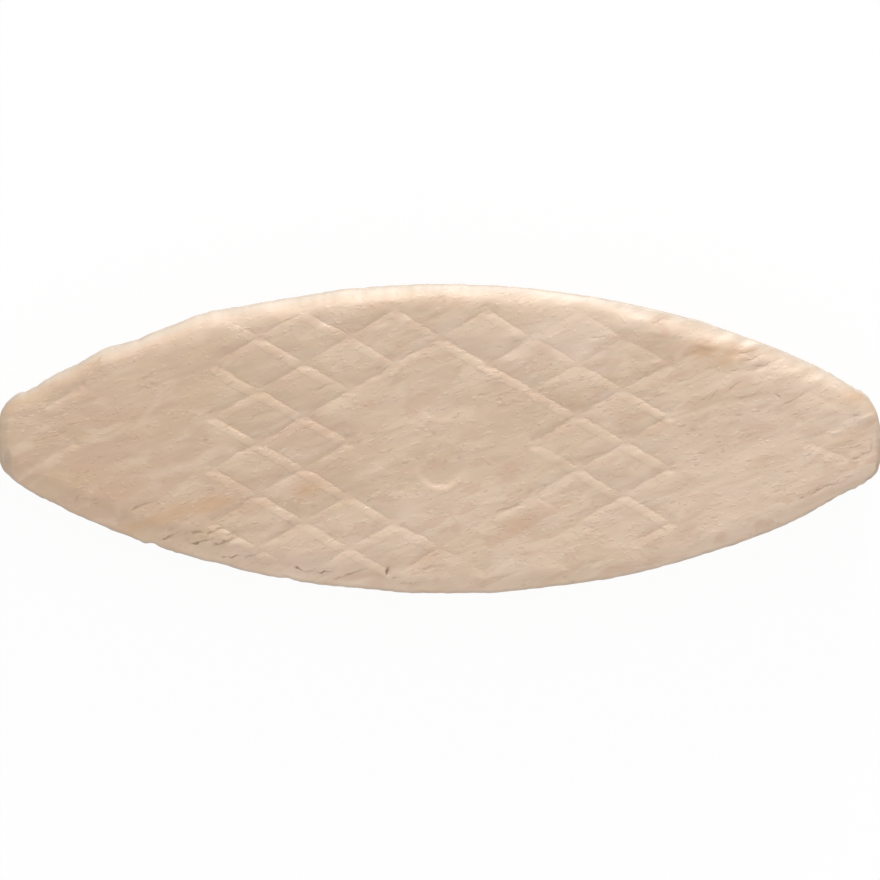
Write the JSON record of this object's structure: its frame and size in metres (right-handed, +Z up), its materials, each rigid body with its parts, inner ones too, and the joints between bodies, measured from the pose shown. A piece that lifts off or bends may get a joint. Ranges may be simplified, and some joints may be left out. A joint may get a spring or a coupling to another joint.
{
  "type": "jointing biscuit",
  "caption": "Lens-shaped compressed-wood joint biscuit with blunt tips, rounded edges and a pressed diamond lattice on both faces.",
  "frame": {"origin": "bottom centre of the bounding box, on the lower pressed face", "axes": "+X along the length to the picture's right tip, +Y across the width to the picture's upper edge, +Z up through the thickness to the face that the picture shows"},
  "size_m": [0.053, 0.0186, 0.004],
  "materials": {
    "beech": "matte"
  },
  "bodies": {
    "root": {"biscuit": "beech"}
  },
  "joints": []
}
